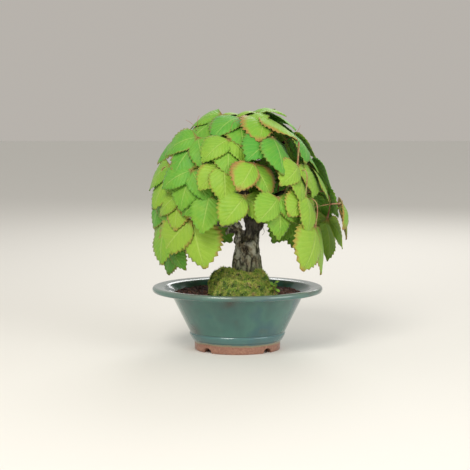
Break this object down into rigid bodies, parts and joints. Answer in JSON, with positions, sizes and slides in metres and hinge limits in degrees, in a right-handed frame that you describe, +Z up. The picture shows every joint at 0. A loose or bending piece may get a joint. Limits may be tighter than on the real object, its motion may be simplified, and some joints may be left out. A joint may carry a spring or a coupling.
{
  "type": "bonsai tree in a pot",
  "caption": "Small bonsai vine tree with a thick trunk and a dome of hanging compound leaves, in an oval glazed pot with soil and moss.",
  "frame": {"origin": "on the surface the pot stands on, under the middle of the tree's outline; the pot's own middle is 14.5 mm to the left of it", "axes": "+Z up; +X to the right of someone facing the front; they look along +Y; the longest side of the box is its height and the shortest runs front to back"},
  "size_m": [0.2711, 0.2134, 0.3285],
  "materials": {
    "glazed_stoneware": "blue-green glaze over brown stoneware, the foot left bare",
    "plastic_mesh": "moulded black plastic mesh",
    "aluminium_wire": "plain drawn wire",
    "bark": "rough silvery bark with dark cracks",
    "soil": "loose dark grit",
    "seedling": "soft young leaf",
    "moss": "dense short moss",
    "leaf": "thin leaf with a faint sheen, red-brown at its edge and stalk"
  },
  "bodies": {
    "root": {"pot": "glazed_stoneware", "drain_screen_left": "plastic_mesh", "screen_wire_left": "aluminium_wire", "drain_screen_right": "plastic_mesh", "screen_wire_right": "aluminium_wire", "tree": "bark", "soil": "soil", "seedling": "seedling", "moss": "moss", "leaf_crown_01": "leaf", "leaf_crown_02": "leaf", "leaf_crown_03": "leaf", "leaf_crown_04": "leaf", "leaf_crown_05": "leaf", "leaf_crown_06": "leaf", "leaf_upper_01": "leaf", "leaf_upper_02": "leaf", "leaf_upper_03": "leaf", "leaf_upper_04": "leaf", "leaf_upper_05": "leaf", "leaf_upper_06": "leaf", "leaf_upper_07": "leaf", "leaf_upper_08": "leaf", "leaf_upper_09": "leaf", "leaf_middle_01": "leaf", "leaf_middle_02": "leaf", "leaf_middle_03": "leaf", "leaf_middle_04": "leaf", "leaf_middle_05": "leaf", "leaf_middle_06": "leaf", "leaf_middle_07": "leaf", "leaf_middle_08": "leaf", "leaf_middle_09": "leaf", "leaf_middle_10": "leaf", "leaf_middle_11": "leaf", "leaf_middle_12": "leaf", "leaf_lower_01": "leaf", "leaf_lower_02": "leaf", "leaf_lower_03": "leaf", "leaf_lower_04": "leaf", "leaf_lower_05": "leaf", "leaf_lower_06": "leaf", "leaf_lower_07": "leaf", "leaf_lower_08": "leaf", "leaf_lower_09": "leaf", "leaf_lower_10": "leaf", "leaf_lower_11": "leaf", "leaf_lower_12": "leaf", "leaf_lower_13": "leaf", "leaf_skirt_01": "leaf", "leaf_skirt_02": "leaf", "leaf_skirt_03": "leaf", "leaf_skirt_04": "leaf", "leaf_skirt_05": "leaf", "leaf_skirt_06": "leaf", "leaf_skirt_07": "leaf", "leaf_skirt_08": "leaf", "leaf_skirt_09": "leaf"}
  },
  "joints": []
}
